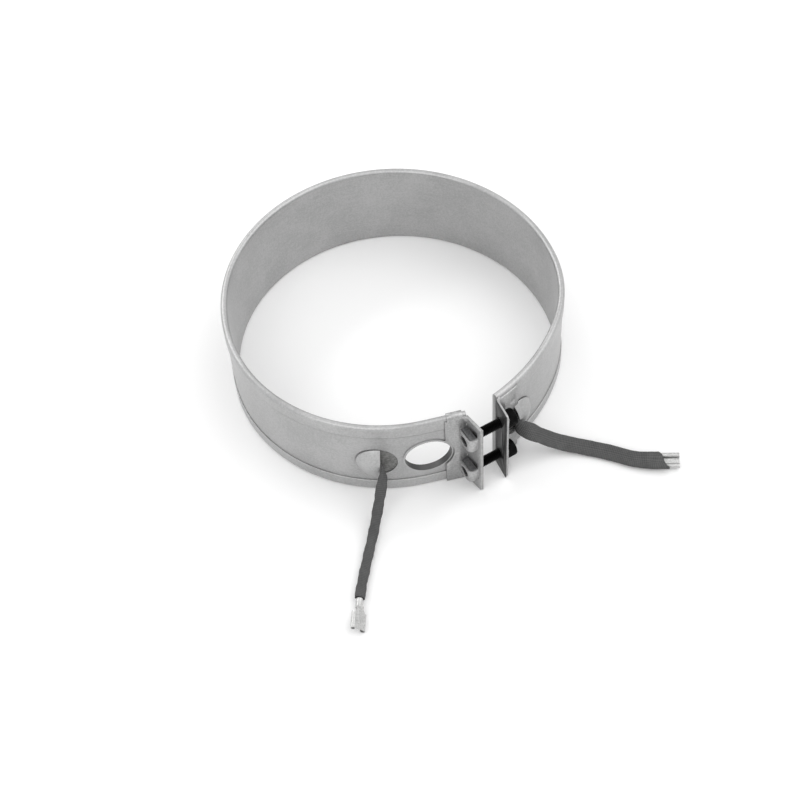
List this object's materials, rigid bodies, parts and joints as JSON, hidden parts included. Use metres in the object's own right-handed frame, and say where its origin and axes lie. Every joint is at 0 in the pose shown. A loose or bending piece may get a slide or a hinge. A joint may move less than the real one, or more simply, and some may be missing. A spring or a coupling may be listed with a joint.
{
  "type": "band heater",
  "caption": "Mica band heater: a folded sheet-steel ring clamped round a barrel by cap screws across its gap, with a through hole and sleeved leads ending in push-on terminals.",
  "frame": {"origin": "on the bore axis at half the band's height", "axes": "+Z along the barrel; -Y to the middle of the clamp gap; +X the side of the screw heads"},
  "size_m": [0.1822, 0.2189, 0.0509],
  "materials": {
    "sheath_steel": "rolled, satin",
    "cover_steel": "rolled, satin",
    "bracket_steel": "pressed, satin",
    "mica": "matt",
    "ribbon": "dull",
    "terminal_steel": "bright plated",
    "wire": "dull",
    "sleeve": "braided, matt",
    "nut_steel": "dull",
    "black_screw": "black oxide, satin"
  },
  "bodies": {
    "band": {"inner_sheath": "sheath_steel", "outer_cover": "cover_steel", "hole_collar": "bracket_steel", "inner_mica": "mica", "core_mica": "mica", "outer_mica": "mica", "resistance_ribbon": "ribbon", "left_element_tag": "terminal_steel", "right_element_tag": "terminal_steel", "left_bracket": "bracket_steel", "right_bracket": "bracket_steel", "left_backing_plate": "bracket_steel", "right_backing_plate": "bracket_steel", "left_lead_wire": "wire", "right_lead_wire": "wire", "left_lead_sleeve": "sleeve", "right_lead_sleeve": "sleeve", "left_terminal": "terminal_steel", "right_terminal": "terminal_steel", "lower_nut": "nut_steel", "upper_nut": "nut_steel"},
    "upper_screw": {"upper_screw": "black_screw"},
    "lower_screw": {"lower_screw": "black_screw"}
  },
  "joints": [
    {"name": "upper_screw_out", "type": "slide", "parent": "band", "child": "upper_screw", "axis": [1, 0, 0], "range_m": [0, 0.0043]},
    {"name": "lower_screw_out", "type": "slide", "parent": "band", "child": "lower_screw", "axis": [1, 0, 0], "range_m": [0, 0.0043]}
  ]
}
